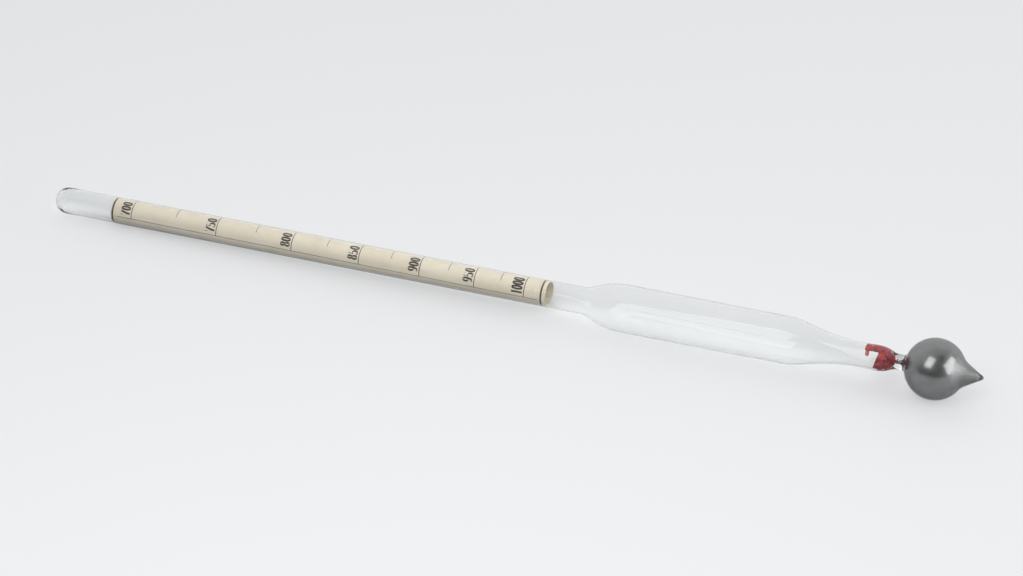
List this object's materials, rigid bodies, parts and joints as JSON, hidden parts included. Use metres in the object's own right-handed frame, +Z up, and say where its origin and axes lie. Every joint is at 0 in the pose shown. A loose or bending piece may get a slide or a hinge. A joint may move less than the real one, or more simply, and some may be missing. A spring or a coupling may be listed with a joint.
{
  "type": "hydrometer",
  "caption": "Sealed glass density hydrometer: slim stem with a rolled paper scale, cylindrical float, waist plugged with red wax, dark weighted ball with a pointed tip.",
  "frame": {"origin": "on the table that the hydrometer lies on, below the middle of its length", "axes": "+X runs from the closed end of the stem to the weighted ball, +Z is up from the table"},
  "size_m": [0.2764, 0.0168, 0.0168],
  "materials": {
    "clear_glass": "clear, smooth, drawn in a flame",
    "scale_paper": "cream paper yellowed with age, with thin printed marks",
    "red_wax": "glossy red sealing wax, broken at its edges",
    "dark_metal": "dark grey metal pressed smooth against the glass"
  },
  "bodies": {
    "root": {"glass_envelope": "clear_glass", "paper_scale": "scale_paper", "wax_seal": "red_wax", "ballast": "dark_metal"}
  },
  "joints": []
}
